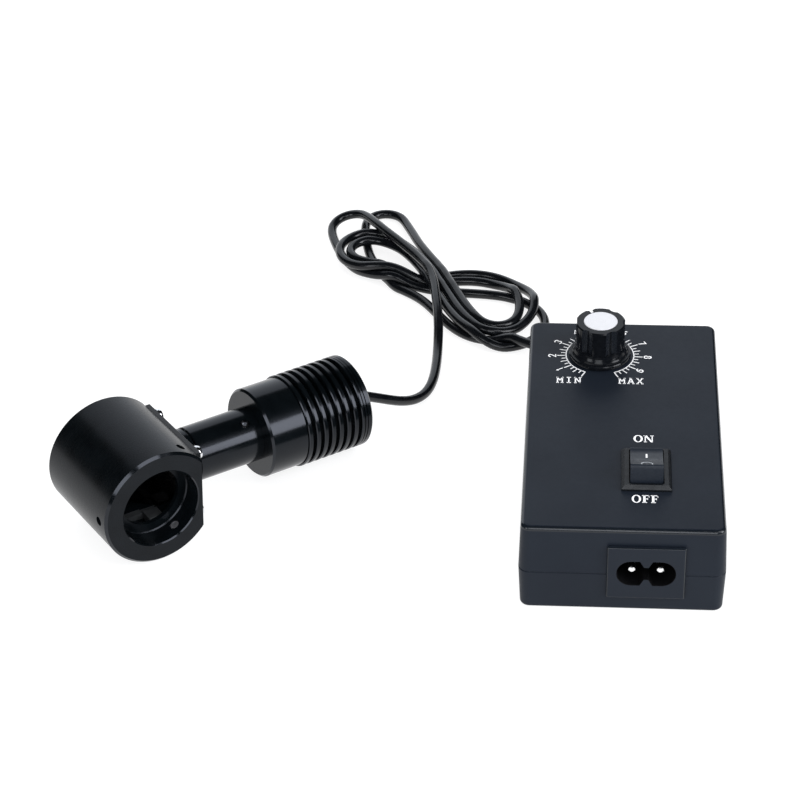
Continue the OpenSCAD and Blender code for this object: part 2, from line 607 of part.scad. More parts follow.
module light_tube() color(black) head_frame() difference() {
    xturn([[flat_x - 1, 0], [flat_x - 1, 8], [plate_x + 0.02, 8], [plate_x + 0.02, tube_r - 0.2],
        [plate_x + 0.22, tube_r], [plate_x + 4.1, tube_r], [plate_x + 4.3, tube_r - 0.2], [plate_x + 4.3, tube_r - 0.6],
        [plate_x + 5, tube_r - 0.6], [plate_x + 5, tube_r - 0.25], [plate_x + 5.25, tube_r], [collar_x0 - 0.05, tube_r], [collar_x0 - 0.05, 0]]);
    xcyl(6.6, 10, 23);
    xcyl(7.5, 22, 60);
    translate([40.3, arm_y, 0]) rotate([30, 0, 0]) translate([0, 0, 5]) cylinder(r = 1.5, h = 6);
}

module tube_screw() color([0.3, 0.3, 0.31]) head_frame() translate([40.3, arm_y, 0]) rotate([30, 0, 0])
    translate([0, 0, 7.5]) grub(1.45, 1.45);

module condenser_lens() color(glass) head_frame() intersection() {
    xcyl(7.42, 22.05, 28);
    translate([10, arm_y, 0]) sphere(r = 16);
}

module lens_ring() color([0.15, 0.15, 0.16]) head_frame() difference() {
    xcyl(7.46, 24.9, 27.2);
    xcyl(6.2, 20, 30);
}

module lamp_collar() color(black) head_frame() difference() {
    xturn([[36, 0], [36, 7.45], [collar_x0, 7.45], [collar_x0, collar_r - 0.7], [collar_x0 + 0.7, collar_r],
        [collar_x0 + collar_len - 0.25, collar_r], [collar_x0 + collar_len, collar_r - 0.25],
        [collar_x0 + collar_len, 12.3], [collar_x0 + collar_len + 3.8, 12.3], [collar_x0 + collar_len + 3.8, 0]]);
    xcyl(5.9, 30, 50);
    xcyl(10.8, 48, 70);
}

// fins: a land, then a groove, repeated; the last stretch is plain with two fine grooves
fin_profile = concat(
    [for (i = [0:fin_grooves - 1]) let (x = sink_x0 + i * fin_pitch)
        each [[x, fin_r - 0.28], [x + 0.28, fin_r], [x + land_w - 0.2, fin_r], [x + land_w, fin_r - 0.2],
              [x + land_w, fin_r - groove_depth], [x + fin_pitch, fin_r - groove_depth]]],
    let (x = sink_x0 + fin_grooves * fin_pitch)
    [[x, fin_r - 0.28], [x + 0.28, fin_r],
     [x + 0.9, fin_r], [x + 0.9, fin_r - 0.5], [x + 1.25, fin_r - 0.5], [x + 1.25, fin_r],
     [x + 1.95, fin_r], [x + 1.95, fin_r - 0.5], [x + 2.3, fin_r - 0.5], [x + 2.3, fin_r],
     [lamp_end - end_bevel, fin_r], [lamp_end, fin_r - end_bevel]]);

module heat_sink() color(black) head_frame() difference() {
    xturn(concat([[sink_x0, 0]], fin_profile, [[lamp_end, 0]]));
    xcyl(12.35, sink_x0 - 1, sink_x0 + 3.9);
    xcyl(2.2, sink_x0, lamp_end + 1);
    xcyl(3.3, lamp_end - 3, lamp_end + 1);
    for (s = [-1, 1]) translate([sink_x0 + 3, arm_y, s * 7.2]) rotate([0, 90, 0]) cylinder(r = 1.02, h = 5);
}

seat_x = sink_x0 + 3.9;

module led_board() color([0.85, 0.86, 0.85]) head_frame() difference() {
    xcyl(9.8, seat_x - 1.62, seat_x - 0.02);
    for (s = [-1, 1]) {
        translate([seat_x - 3, arm_y, s * 7.2]) rotate([0, 90, 0]) cylinder(r = 1.3, h = 5);
        translate([seat_x - 3, arm_y + s * 6, 0]) rotate([0, 90, 0]) cylinder(r = 1, h = 5);
    }
}

module led_emitter() color([0.95, 0.9, 0.55]) head_frame() union() {
    translate([seat_x - 2.5, arm_y - 2.5, -2.5]) cube([0.86, 5, 5]);
    intersection() {
        translate([seat_x - 2.4, arm_y, 0]) sphere(r = 2);
        translate([seat_x - 6, arm_y - 3, -3]) cube([3.7, 6, 6]);
    }
}

module led_screws() color(steel) head_frame() for (s = [-1, 1])
    translate([seat_x - 1.64, arm_y, s * 7.2]) rotate([0, -90, 0]) pan_screw(1, 5.2, 1.9, 1.2);

module lamp_leads() color([0.7, 0.15, 0.12]) head_frame() for (s = [-1, 1])
    translate([0, 0, s * 0.9]) xcyl(0.5, seat_x + 0.1, lamp_end - 3.1);

module rear_grommet() color(black) head_frame() difference() {
    xturn([[lamp_end - 2.95, 0], [lamp_end - 2.95, 3.25], [lamp_end + 0.02, 3.25], [lamp_end + 0.02, 4],
        [lamp_end + 0.8, 4], [grommet_x, 3.4], [grommet_x, 0]]);
    xcyl(cord_d / 2 + 0.03, lamp_end - 5, lamp_end + 5);
}

// ---------- cord ----------

module cord_lead() color(black) sweep(lead_pts, cord_d / 2);

// outer shape of the loose figure-eight bundle
module cord_hank() color(black) translate([0, 0, 0.02]) linear_extrude(11.6) union() {
    hull() {
        translate([-99, 163]) circle(r = 11.6, $fn = 32);
        translate([-89.5, 167.6]) circle(r = 11, $fn = 32);
        translate([-97, 145]) circle(r = 12.6, $fn = 32);
        translate([-69, 120]) circle(r = 11, $fn = 32);
    }
    hull() {
        translate([-66, 117]) circle(r = 12, $fn = 32);
        translate([-55, 124.4]) circle(r = 11.6, $fn = 32);
        translate([-42, 112.6]) circle(r = 17.2, $fn = 32);
        translate([-42, 99.4]) circle(r = 17.2, $fn = 32);
    }
}

module cord_tail() color(black) sweep(tail_pts, cord_d / 2);

// ---------- what is drawn ----------

upper_case();
lower_case();
case_screws();
dimmer_knob();
knob_cap();
knob_pointer();
pot_body();
pot_track();
pot_terminals();
pot_nut();
pot_washer();
pot_shaft();
pot_wiper();
switch_frame();
rocker();
switch_plunger();
switch_lever();
switch_terminals();
inlet_housing();
inlet_pins();
circuit_board();
board_screws();
transformer_core();
transformer_winding();
input_capacitor();
output_capacitor();
driver_transistor();
fuse();
mains_wires();
dimmer_wires();
output_wires();
cord_gland();
head_body();
splitter_holder();
beam_splitter();
rear_ring();
clamp_screw_a();
clamp_screw_b();
clamp_screw_c();
side_plate();
side_plate_screws();
light_tube();
tube_screw();
condenser_lens();
lens_ring();
lamp_collar();
heat_sink();
led_board();
led_emitter();
led_screws();
lamp_leads();
rear_grommet();
cord_lead();
cord_hank();
cord_tail();
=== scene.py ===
from math import asin, atan2, cos, pi, radians, sin, sqrt

import bmesh
import bpy
import numpy as np
from mathutils import Matrix, Vector


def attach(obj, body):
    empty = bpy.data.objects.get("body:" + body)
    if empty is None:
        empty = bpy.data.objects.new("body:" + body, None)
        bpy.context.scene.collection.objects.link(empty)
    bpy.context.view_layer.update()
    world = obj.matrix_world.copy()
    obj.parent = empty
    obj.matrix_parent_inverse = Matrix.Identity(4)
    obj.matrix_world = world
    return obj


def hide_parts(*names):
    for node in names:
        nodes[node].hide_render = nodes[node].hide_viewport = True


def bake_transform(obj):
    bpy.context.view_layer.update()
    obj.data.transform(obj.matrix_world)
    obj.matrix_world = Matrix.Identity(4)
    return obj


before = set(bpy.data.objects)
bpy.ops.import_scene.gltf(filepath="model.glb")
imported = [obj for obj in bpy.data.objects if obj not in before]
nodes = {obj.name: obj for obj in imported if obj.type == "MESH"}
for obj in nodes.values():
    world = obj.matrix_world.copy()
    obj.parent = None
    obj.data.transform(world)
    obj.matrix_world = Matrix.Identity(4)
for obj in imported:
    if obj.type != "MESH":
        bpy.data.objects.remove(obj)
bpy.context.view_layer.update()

MM = 0.001
scene = bpy.context.scene


# ---------- camera ----------

def look_camera():
    el, az, roll = radians(34.632), radians(5.063), radians(-1.669)
    back = Vector((sin(az) * cos(el), -cos(az) * cos(el), sin(el)))
    right = Vector((0, 0, 1)).cross(back).normalized()
    up = back.cross(right)
    r2 = cos(roll) * right + sin(roll) * up
    u2 = -sin(roll) * right + cos(roll) * up
    m = Matrix.Identity(4)
    for k, v in enumerate((r2, u2, back, Vector((-13.99, -641.32, 481.10)) * MM)):
        for i in range(3):
            m[i][k] = v[i]
    data = bpy.data.cameras.new("camera")
    data.sensor_fit = "HORIZONTAL"
    data.sensor_width = 36.0
    data.lens = 110.745
    data.clip_start = 0.01
    data.clip_end = 30.0
    data.dof.use_dof = False
    obj = bpy.data.objects.new("camera", data)
    scene.collection.objects.link(obj)
    obj.matrix_world = m
    scene.camera = obj


look_camera()


# ---------- places in the head's own axes ----------

HEAD_R, REST_X, FIN_R, ARM_Y = 19.7, 82.2, 15.6, 21.4
ROLL = asin(HEAD_R / sqrt(REST_X ** 2 + FIN_R ** 2)) - atan2(FIN_R, REST_X)
YAW = radians(37.9)


def hv(p):
    a = (p[0] * cos(ROLL) + p[2] * sin(ROLL), p[1], -p[0] * sin(ROLL) + p[2] * cos(ROLL))
    return (a[0] * cos(YAW) - a[1] * sin(YAW), a[0] * sin(YAW) + a[1] * cos(YAW), a[2])


def hp(p):
    a = hv(p)
    return (-142.9 + a[0], -37.9 + a[1], HEAD_R + a[2])


# ---------- cord ----------

# route in millimetres, from the lamp house to the box
LEAD = [
    (-84.6, 34.8, 13.8), (-81.2, 37.4, 11.6), (-77.6, 40.4, 8.8), (-73.8, 44.3, 5.6), (-70.4, 48.4, 3.3), (-67.6, 52.8, 2.1),
    (-65.6, 57.6, 1.8), (-64.5, 64, 1.75), (-64.1, 72, 1.75), (-64.1, 79, 2), (-64.2, 85.5, 3.4), (-64.5, 92.5, 6),
    (-65.2, 100, 7.8), (-66.2, 107, 8.6)]
BUNDLE = [
    (-67.4, 116, 8.8),
    # first loop, left
    (-69.2, 123, 8.8), (-71.9, 129.2, 8.8), (-75.2, 134.8, 8.8), (-79, 140.2, 8.8), (-83.6, 146.4, 8.8), (-88.4, 152.8, 8.7),
    (-92.3, 158.8, 8.3), (-95.4, 164.2, 7.4), (-98, 168.1, 6.4), (-101.4, 170.6, 5.3), (-105.2, 170.9, 4.3), (-108.3, 168.7, 3.5),
    (-109.5, 165, 2.9), (-109.2, 160.6, 2.3), (-107.8, 155.4, 1.8), (-105.2, 147.8, 1.75), (-101.6, 139.8, 1.75),
    (-96.4, 133.2, 2.2), (-91, 129, 4.2), (-85.5, 126.2, 5.2), (-80, 124.4, 4.2), (-74, 122.6, 2.3), (-67, 120.8, 1.75),
    # first loop, right
    (-60, 119.6, 1.75), (-53.3, 119.2, 1.75), (-46.7, 118.5, 1.75), (-40.2, 117, 1.75), (-33.8, 113.4, 1.75),
    (-29.4, 108.8, 1.75), (-27, 103.2, 1.75), (-26.8, 97, 1.75), (-28.8, 91.8, 1.75), (-32, 87.8, 1.75), (-36, 85.2, 1.75),
    (-40.8, 84.2, 2), (-45.6, 84.8, 2.9), (-50, 87.2, 4.2), (-54, 91.4, 5.2), (-58.4, 97.6, 5.2), (-62.8, 106, 5.2),
    (-66.9, 115.6, 5.2),
    # second loop, left
    (-70, 123.5, 5.3), (-72.8, 131, 5.3), (-76.4, 138, 5.2), (-80.8, 143.8, 5.2), (-86, 148.2, 5.2), (-91.3, 150.7, 5.2),
    (-96.4, 150.4, 5.2), (-100.2, 147.4, 5.2), (-101.4, 143.1, 5.2), (-99.9, 138.8, 5.2), (-95.8, 135.8, 5.2), (-90, 133.9, 5.2),
    (-84, 131.6, 3.8), (-77.9, 129.2, 2.2), (-72, 128.4, 1.75), (-66, 130, 1.75),
    # second loop, right
    (-61, 131.8, 1.75), (-55.5, 132.6, 1.75), (-50.3, 132.2, 1.75), (-45.2, 130.4, 1.75), (-40.4, 127.3, 1.9),
    (-36.2, 123.1, 2.6), (-32.9, 118, 4), (-31, 112.4, 5.1), (-30.8, 106.6, 4.8), (-32.4, 101, 3.8), (-35.8, 96, 3),
    (-40, 92, 3.4), (-45, 89.8, 4.8), (-49.6, 91.2, 5.3), (-53.2, 95.4, 5.3), (-56.6, 101.2, 5.3), (-60, 108.6, 5.3),
    (-63.1, 116, 5.3),
    # third loop, left
    (-66.6, 123.8, 5.4), (-70.2, 131.4, 5.3), (-74, 138.4, 5.2), (-78.1, 145, 5), (-82.2, 150.4, 4.8), (-86, 153.8, 4.8),
    (-89.8, 155.6, 5), (-93.6, 156, 5.2), (-97.6, 155.2, 5.2), (-101.2, 152.4, 5.2), (-103.8, 148.2, 5.2),
    (-104.6, 143.2, 5.2), (-103.4, 138, 5.2), (-100.4, 133.9, 5.3), (-96.2, 131, 5.8), (-91.3, 129.4, 6.6), (-86.7, 128.6, 7),
    (-82.2, 127.4, 6.2), (-76.6, 126, 4.8), (-70, 125.6, 3.6), (-64, 126.6, 2.5),
    # third loop, right
    (-58, 127.7, 1.75), (-51.5, 127.5, 1.75), (-46, 125.6, 2), (-41.8, 122.2, 3.2), (-38.6, 117.4, 4.8), (-36.6, 111.8, 5.2),
    (-36, 105.6, 4.6), (-37, 99.8, 3.9), (-39.9, 95.6, 3.6), (-44.2, 93.8, 3.9), (-48.4, 95.4, 4.6), (-51.8, 99.6, 5.2),
    (-55.6, 106.6, 5.2), (-59.3, 115.4, 5.2),
    # fourth loop, left
    (-63.2, 124.6, 5.3), (-67, 133, 5.2), (-70.8, 141, 4.8), (-74.8, 150, 4), (-78.4, 160.2, 3), (-80.9, 167.2, 2.2), (-82.9, 172, 1.75),
    (-85.9, 175.5, 1.75), (-89.6, 176.7, 1.75), (-93.5, 175.3, 1.75), (-96.1, 171.8, 1.75), (-96.8, 166.4, 1.75), (-96.1, 158.8, 1.75),
    (-95, 152, 1.75), (-93.4, 145, 1.75), (-90.8, 138, 1.75), (-87.4, 130.8, 1.75), (-83.4, 124.8, 1.75), (-78.8, 120.4, 1.75),
    (-74.6, 117, 1.75), (-71.2, 113.4, 1.75), (-68.2, 109, 1.75), (-64.8, 103.6, 1.75), (-60.8, 97.6, 1.75), (-56.2, 92.6, 1.75),
    (-51.4, 89.4, 1.75), (-46.4, 87.8, 2)]
TAIL = [
    (-41.4, 86.8, 3.2), (-37, 84.8, 4.8), (-33, 82, 5.6), (-29, 79.6, 5.9), (-25, 78.2, 6.4),
    (-21, 77.4, 7), (-17.5, 76.4, 7.7), (-15.6, 74.9, 8.1), (-14.4, 72.8, 8.3), (-14, 70.4, 8.4)]
CORD_D = 3.4


def curve_through(points, per=8):
    P = np.array(points, float)
    Q = np.vstack([2 * P[0] - P[1], P, 2 * P[-1] - P[-2]])
    out = []
    for i in range(1, len(Q) - 2):
        p0, p1, p2, p3 = Q[i - 1:i + 3]
        d = [max(np.linalg.norm(b - a), 1e-6) ** 0.5 for a, b in ((p0, p1), (p1, p2), (p2, p3))]
        t0, t1, t2, t3 = 0, d[0], d[0] + d[1], d[0] + d[1] + d[2]
        for k in range(per):
            t = t1 + (t2 - t1) * k / per
            a1 = (t1 - t) / (t1 - t0) * p0 + (t - t0) / (t1 - t0) * p1
            a2 = (t2 - t) / (t2 - t1) * p1 + (t - t1) / (t2 - t1) * p2
            a3 = (t3 - t) / (t3 - t2) * p2 + (t - t2) / (t3 - t2) * p3
            b1 = (t2 - t) / (t2 - t0) * a1 + (t - t0) / (t2 - t0) * a2
            b2 = (t3 - t) / (t3 - t1) * a2 + (t - t1) / (t3 - t1) * a3
            out.append((t2 - t) / (t2 - t1) * b1 + (t - t1) / (t2 - t1) * b2)
    out.append(P[-1])
    return np.array(out)


def even_steps(X, n):
    s = np.r_[0, np.cumsum(np.linalg.norm(np.diff(X, axis=0), axis=1))]
    t = np.linspace(0, s[-1], n)
    return np.stack([np.interp(t, s, X[:, k]) for k in range(3)], 1)


def settle(X, steps, floor=1.72, gap=3.42, rmin=8.2, fixed=(7, 9)):
    """Lets the cord lie: it smooths, eases tight bends, sinks to the table and rests on its own strands."""
    X = X.copy()
    X0 = X.copy()
    n = len(X)
    ds = np.linalg.norm(np.diff(X, axis=0), axis=1).mean()
    m = 3
    I, J = np.triu_indices(n, int(np.ceil(2.2 * CORD_D / ds)))
    free = np.ones(n, bool)
    free[:fixed[0]] = False
    free[-fixed[1]:] = False
    w = free.astype(float)[:, None]
    for k in range(steps):
        bend = np.zeros_like(X)
        bend[1:-1] = 0.5 * (X[:-2] + X[2:]) - X[1:-1]
        X += 0.25 * bend * w
        h = np.linalg.norm(X[2 * m:] - X[:-2 * m], axis=1) / 2
        mid = 0.5 * (X[:-2 * m] + X[2 * m:]) - X[m:-m]
        sag = np.linalg.norm(mid, axis=1)
        over = np.clip(1 - h * h / (2 * rmin) / np.maximum(sag, 1e-9), 0, 1)
        X[m:-m] += 0.3 * over[:, None] * mid * w[m:-m]
        d = X0 - X
        X[:, :2] += 0.06 * d[:, :2] * w
        X[:, 2:] += 0.02 * d[:, 2:] * w
        X[:, 2] -= 0.010 * w[:, 0]
        for rep in range(2):
            V = X[J] - X[I]
            dist = np.linalg.norm(V, axis=1)
            near = dist < gap
            if near.any():
                v = V[near]
                dd = dist[near][:, None]
                push = 0.5 * (gap - dd) * v / np.maximum(dd, 1e-6)
                a = np.zeros_like(X)
                c = np.zeros(n)
                np.add.at(a, I[near], -push)
                np.add.at(a, J[near], push)
                np.add.at(c, I[near], 1)
                np.add.at(c, J[near], 1)
                X += (a / np.maximum(c, 1)[:, None]) * w * 0.9
            X[:, 2] = np.where(free, np.maximum(X[:, 2], floor), X[:, 2])
    return X


def link(obj):
    scene.collection.objects.link(obj)
    return obj


def mesh_object(name, bm):
    me = bpy.data.meshes.new(name)
    bmesh.ops.recalc_face_normals(bm, faces=bm.faces[:])
    bm.to_mesh(me)
    bm.free()
    return link(bpy.data.objects.new(name, me))


def tube(name, path, r, sides=16):
    """A round tube along a path (metres), closed at both ends."""
    bm = bmesh.new()
    n = len(path)
    T = np.gradient(path, axis=0)
    T /= np.linalg.norm(T, axis=1)[:, None]
    side = np.cross(T[0], (0, 0, 1.0))
    side /= np.linalg.norm(side)
    rings = []
    for i in range(n):
        side = side - T[i] * side.dot(T[i])
        side /= np.linalg.norm(side)
        w = np.cross(T[i], side)
        rings.append([bm.verts.new(path[i] + r * (cos(2 * pi * k / sides) * side + sin(2 * pi * k / sides) * w))
                      for k in range(sides)])
    for a, b in zip(rings[:-1], rings[1:]):
        for k in range(sides):
            f = bm.faces.new((a[k], a[(k + 1) % sides], b[(k + 1) % sides], b[k]))
            f.smooth = True
    bm.faces.new(rings[0])
    bm.faces.new(rings[-1])
    return mesh_object(name, bm)


route = [hp((80.5, ARM_Y, 0)), hp((83.9, ARM_Y, 0)), hp((87, ARM_Y, 0))] + LEAD + BUNDLE + TAIL
route += [(-14, 66, 8.4), (-14, 60, 8.4)]
cord_path = settle(even_steps(curve_through(route), 760), 300) * MM
cord = tube("cord", cord_path, CORD_D / 2 * MM)
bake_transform(cord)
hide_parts("cord_lead", "cord_hank", "cord_tail")


# ---------- materials ----------

class Look:
    """A Principled material with a few helpers for its texture nodes."""

    def __init__(self, name, **sockets):
        self.mat = bpy.data.materials.new(name)
        self.mat.use_nodes = True
        self.nt = self.mat.node_tree
        self.bsdf = next(n for n in self.nt.nodes if n.type == "BSDF_PRINCIPLED")
        self.coord = self.nt.nodes.new("ShaderNodeTexCoord").outputs["Object"]
        for k, v in sockets.items():
            key = k.replace("_", " ")
            names = {i.name.lower(): i for i in self.bsdf.inputs}
            names[key.lower()].default_value = v

    def node(self, kind, **props):
        n = self.nt.nodes.new(kind)
        for k, v in props.items():
            setattr(n, k, v)
        return n

    def put(self, src, dst):
        self.nt.links.new(src, dst)

    def noise(self, scale, detail=3.0, rough=0.55, vec=None, stretch=None):
        v = vec or self.coord
        if stretch is not None:
            mp = self.node("ShaderNodeMapping")
            mp.inputs["Scale"].default_value = stretch
            self.put(v, mp.inputs["Vector"])
            v = mp.outputs["Vector"]
        n = self.node("ShaderNodeTexNoise")
        n.inputs["Scale"].default_value = scale
        n.inputs["Detail"].default_value = detail
        n.inputs["Roughness"].default_value = rough
        self.put(v, n.inputs["Vector"])
        return n.outputs[0]

    def lathe(self, centre, axis, scale, detail=2.0):
        """Fine turning lines round an axis: on the barrel and on the faces."""
        sub = self.node("ShaderNodeVectorMath", operation="SUBTRACT")
        sub.inputs[1].default_value = centre
        self.put(self.coord, sub.inputs[0])
        dot = self.node("ShaderNodeVectorMath", operation="DOT_PRODUCT")
        dot.inputs[1].default_value = axis
        self.put(sub.outputs["Vector"], dot.inputs[0])
        cr = self.node("ShaderNodeVectorMath", operation="CROSS_PRODUCT")
        cr.inputs[1].default_value = axis
        self.put(sub.outputs["Vector"], cr.inputs[0])
        ln = self.node("ShaderNodeVectorMath", operation="LENGTH")
        self.put(cr.outputs["Vector"], ln.inputs[0])
        add = self.node("ShaderNodeMath", operation="ADD")
        self.put(dot.outputs["Value"], add.inputs[0])
        self.put(ln.outputs["Value"], add.inputs[1])
        n = self.node("ShaderNodeTexNoise", noise_dimensions="1D")
        n.inputs["Scale"].default_value = scale
        n.inputs["Detail"].default_value = detail
        self.put(add.outputs["Value"], n.inputs["W"])
        return n.outputs[0]

    def mix(self, a, b, fac):
        m = self.node("ShaderNodeMath", operation="MULTIPLY_ADD")
        m.inputs[1].default_value = fac
        self.put(b, m.inputs[0])
        self.put(a, m.inputs[2])
        return m.outputs["Value"]

    def span(self, fac, lo, hi, socket):
        m = self.node("ShaderNodeMapRange")
        m.inputs["From Min"].default_value = 0.3
        m.inputs["From Max"].default_value = 0.7
        m.inputs["To Min"].default_value = lo
        m.inputs["To Max"].default_value = hi
        self.put(fac, m.inputs["Value"])
        self.put(m.outputs["Result"], self.bsdf.inputs[socket])

    def colours(self, fac, a, b, lo=0.35, hi=0.65):
        r = self.node("ShaderNodeValToRGB")
        r.color_ramp.elements[0].position = lo
        r.color_ramp.elements[0].color = (*a, 1)
        r.color_ramp.elements[1].position = hi
        r.color_ramp.elements[1].color = (*b, 1)
        self.put(fac, r.inputs["Fac"])
        self.put(r.outputs["Color"], self.bsdf.inputs["Base Color"])

    def bump(self, height, strength, dist_mm):
        b = self.node("ShaderNodeBump")
        b.inputs["Strength"].default_value = strength
        b.inputs["Distance"].default_value = dist_mm * MM
        self.put(height, b.inputs["Height"])
        self.put(b.outputs["Normal"], self.bsdf.inputs["Normal"])


def case_look(name, a, b, rough, spec=0.13):
    k = Look(name, specular_ior_level=spec)
    grain = k.noise(2600, 2.0, 0.6)
    k.colours(k.mix(k.noise(40, 2.0), grain, 0.35), a, b, 0.5, 0.9)
    k.span(k.noise(700, 3.0), rough - 0.03, rough + 0.04, "Roughness")
    k.bump(grain, 0.3, 0.03)
    return k.mat


def turned_look(name, centre, axis, rough, dark=0.0013, light=0.0022, lines=0.1, spec=0.25, tint=(1, 1.5, 1.9)):
    k = Look(name, specular_ior_level=spec, specular_tint=(0.85, 0.89, 1.0, 1.0))
    line = k.lathe([c * MM for c in centre], axis, 5200)
    cloud = k.noise(160, 4.0)
    k.colours(cloud, [dark * t for t in tint], [light * t for t in tint])
    k.span(k.mix(line, cloud, 0.3), rough - 0.03, rough + 0.03, "Roughness")
    k.bump(line, lines, 0.004)
    return k.mat


def metal_look(name, a, b, rough, scale=900, lines=0.15, stretch=(1, 1, 1)):
    k = Look(name, metallic=1.0)
    g = k.noise(scale, 4.0, 0.6, stretch=stretch)
    k.colours(g, a, b)
    k.span(g, rough - 0.05, rough + 0.08, "Roughness")
    k.bump(g, lines, 0.01)
    return k.mat


def plastic_look(name, a, b, rough, scale=800, bump=0.2, spec=0.5, coat=0.0):
    k = Look(name, specular_ior_level=spec, coat_weight=coat, coat_roughness=0.12)
    g = k.noise(scale, 4.0, 0.6)
    k.colours(g, a, b)
    k.span(k.noise(scale * 0.35, 3.0), rough - 0.05, rough + 0.06, "Roughness")
    k.bump(g, bump, 0.02)
    return k.mat


def glass_look(name, tint, alpha, rough, spec=0.5):
    k = Look(name, specular_ior_level=spec, transmission_weight=alpha, ior=1.5)
    g = k.noise(300, 3.0)
    k.colours(g, tuple(c * 0.97 for c in tint), tint)
    k.span(g, rough, rough + 0.03, "Roughness")
    return k.mat


head_axis, arm_axis = hv((0, 1, 0)), hv((1, 0, 0))
head_c, arm_c = hp((0, 0, 0)), hp((0, ARM_Y, 0))

look = {
    "case": case_look("case_plastic_look", (0.009, 0.0121, 0.0181), (0.0108, 0.0145, 0.0213), 0.38, 0.115),
    # glossier edge finish, with a colour about half the case's: painted shade for the dark line along the rounded edges
    "glossy_edge_painted_shade": case_look("glossy_edge_painted_shade_look", (0.0046, 0.0066, 0.0098), (0.0056, 0.008, 0.0116), 0.2, 0.42),
    "inlet": case_look("inlet_plastic_look", (0.009, 0.0121, 0.018), (0.0108, 0.0143, 0.021), 0.38),
    # painted shade: the faces inside the inlet's opening get this much darker colour
    "inlet_recess_painted_shade": case_look("inlet_recess_painted_shade_look", (0.0022, 0.0022, 0.0026), (0.0032, 0.0032, 0.0038), 0.6, 0.1),
    "switch": plastic_look("switch_plastic_look", (0.004, 0.005, 0.0066), (0.006, 0.0074, 0.0094), 0.3, 1500, 0.1, 0.26),
    "rocker": plastic_look("rocker_plastic_look", (0.009, 0.0124, 0.019), (0.0115, 0.0155, 0.023), 0.34, 1500, 0.12, 0.22),
    "knob": plastic_look("knob_plastic_look", (0.003, 0.0036, 0.0048), (0.0046, 0.0054, 0.007), 0.14, 1200, 0.02, 0.2),
    # painted light: the hollows between the knob's ridges get this lighter, rougher look
    "knob_hollow_painted_light": plastic_look("knob_hollow_painted_light_look", (0.007, 0.0086, 0.0116), (0.0095, 0.0114, 0.015), 0.26, 1200, 0.05, 0.34),
    "cap": None,
    "mark": plastic_look("white_mark_look", (0.84, 0.84, 0.85), (0.92, 0.92, 0.92), 0.5, 2500, 0.1),
    "worn": plastic_look("worn_mark_look", (0.32, 0.34, 0.37), (0.48, 0.50, 0.53), 0.5, 2500, 0.1),
    "head": turned_look("head_anodised_look", head_c, head_axis, 0.26, spec=0.165),
    "arm": turned_look("arm_anodised_look", arm_c, arm_axis, 0.14),
    "sink": turned_look("sink_anodised_look", arm_c, arm_axis, 0.15),
    "ring": turned_look("ring_anodised_look", head_c, head_axis, 0.25, 0.0016, 0.0026, 0.1, 0.12),
    # painted light: the splitter holder's upward tab and floor strip are coloured light grey where they catch the light
    "tab_painted_light": turned_look("tab_painted_light_look", head_c, head_axis, 0.34, 0.021, 0.03, 0.1, 0.3, (1, 1.06, 1.1)),
    "bore_edge": turned_look("bore_edge_look", head_c, head_axis, 0.2, 0.0016, 0.0026, 0.1, 0.32),
    "head_edge": turned_look("head_edge_look", head_c, head_axis, 0.12, spec=0.42),
    "arm_edge": turned_look("arm_edge_look", arm_c, arm_axis, 0.12, spec=0.42),
    "bore": turned_look("bore_anodised_look", head_c, head_axis, 0.2, 0.0016, 0.0026, 0.1, 0.12),
    "plate": plastic_look("plate_anodised_look", (0.0035, 0.0038, 0.0046), (0.0055, 0.0058, 0.0068), 0.26, 900, 0.1, 0.26),
    "chrome": metal_look("screw_steel_look", (0.72, 0.73, 0.75), (0.82, 0.83, 0.84), 0.16),
    "grub": metal_look("grub_steel_look", (0.7, 0.7, 0.72), (0.86, 0.86, 0.88), 0.5),
    "grub_dark": metal_look("dark_grub_look", (0.16, 0.165, 0.18), (0.3, 0.305, 0.32), 0.22),
    "pin": metal_look("plated_pin_look", (0.82, 0.82, 0.83), (0.92, 0.92, 0.92), 0.18, 1500, 0.08, (1, 0.1, 1)),
    "steel": metal_look("pot_metal_look", (0.5, 0.5, 0.52), (0.66, 0.66, 0.68), 0.3),
    "brass": metal_look("contact_brass_look", (0.72, 0.5, 0.2), (0.82, 0.6, 0.28), 0.26),
    "carbon": plastic_look("carbon_track_look", (0.012, 0.012, 0.012), (0.022, 0.022, 0.022), 0.7, 2500, 0.3),
    "board": plastic_look("board_laminate_look", (0.006, 0.085, 0.035), (0.012, 0.12, 0.05), 0.35, 350, 0.1),
    "ferrite": plastic_look("ferrite_look", (0.03, 0.028, 0.028), (0.05, 0.046, 0.046), 0.65, 1500, 0.4),
    "tape": plastic_look("winding_tape_look", (0.6, 0.43, 0.05), (0.75, 0.56, 0.09), 0.28, 250, 0.1),
    "can": plastic_look("can_sleeve_look", (0.008, 0.011, 0.06), (0.012, 0.016, 0.085), 0.3, 400, 0.1),
    "chip": plastic_look("chip_epoxy_look", (0.013, 0.013, 0.014), (0.022, 0.022, 0.023), 0.6, 1800, 0.3),
    "glass": glass_look("clear_glass_look", (0.92, 0.96, 0.97), 1.0, 0.02),
    # painted shade: the beam splitter's glass is tinted nearly black and barely reflects, so the bore reads black
    # inside
    "mirror": glass_look("half_mirror_look", (0.006, 0.006, 0.007), 1.0, 0.12, 0.02),
    "wire": plastic_look("wire_sheath_look", (0.26, 0.03, 0.02), (0.36, 0.045, 0.03), 0.4, 700, 0.1),
    "rubber": plastic_look("black_rubber_look", (0.009, 0.009, 0.0095), (0.015, 0.015, 0.016), 0.55, 1600, 0.25),
    "cord": None,
    "led_board": plastic_look("led_substrate_look", (0.72, 0.73, 0.72), (0.82, 0.83, 0.82), 0.35, 500, 0.1),
    "led": plastic_look("led_phosphor_look", (0.85, 0.68, 0.16), (0.95, 0.8, 0.25), 0.25, 900, 0.1),
}


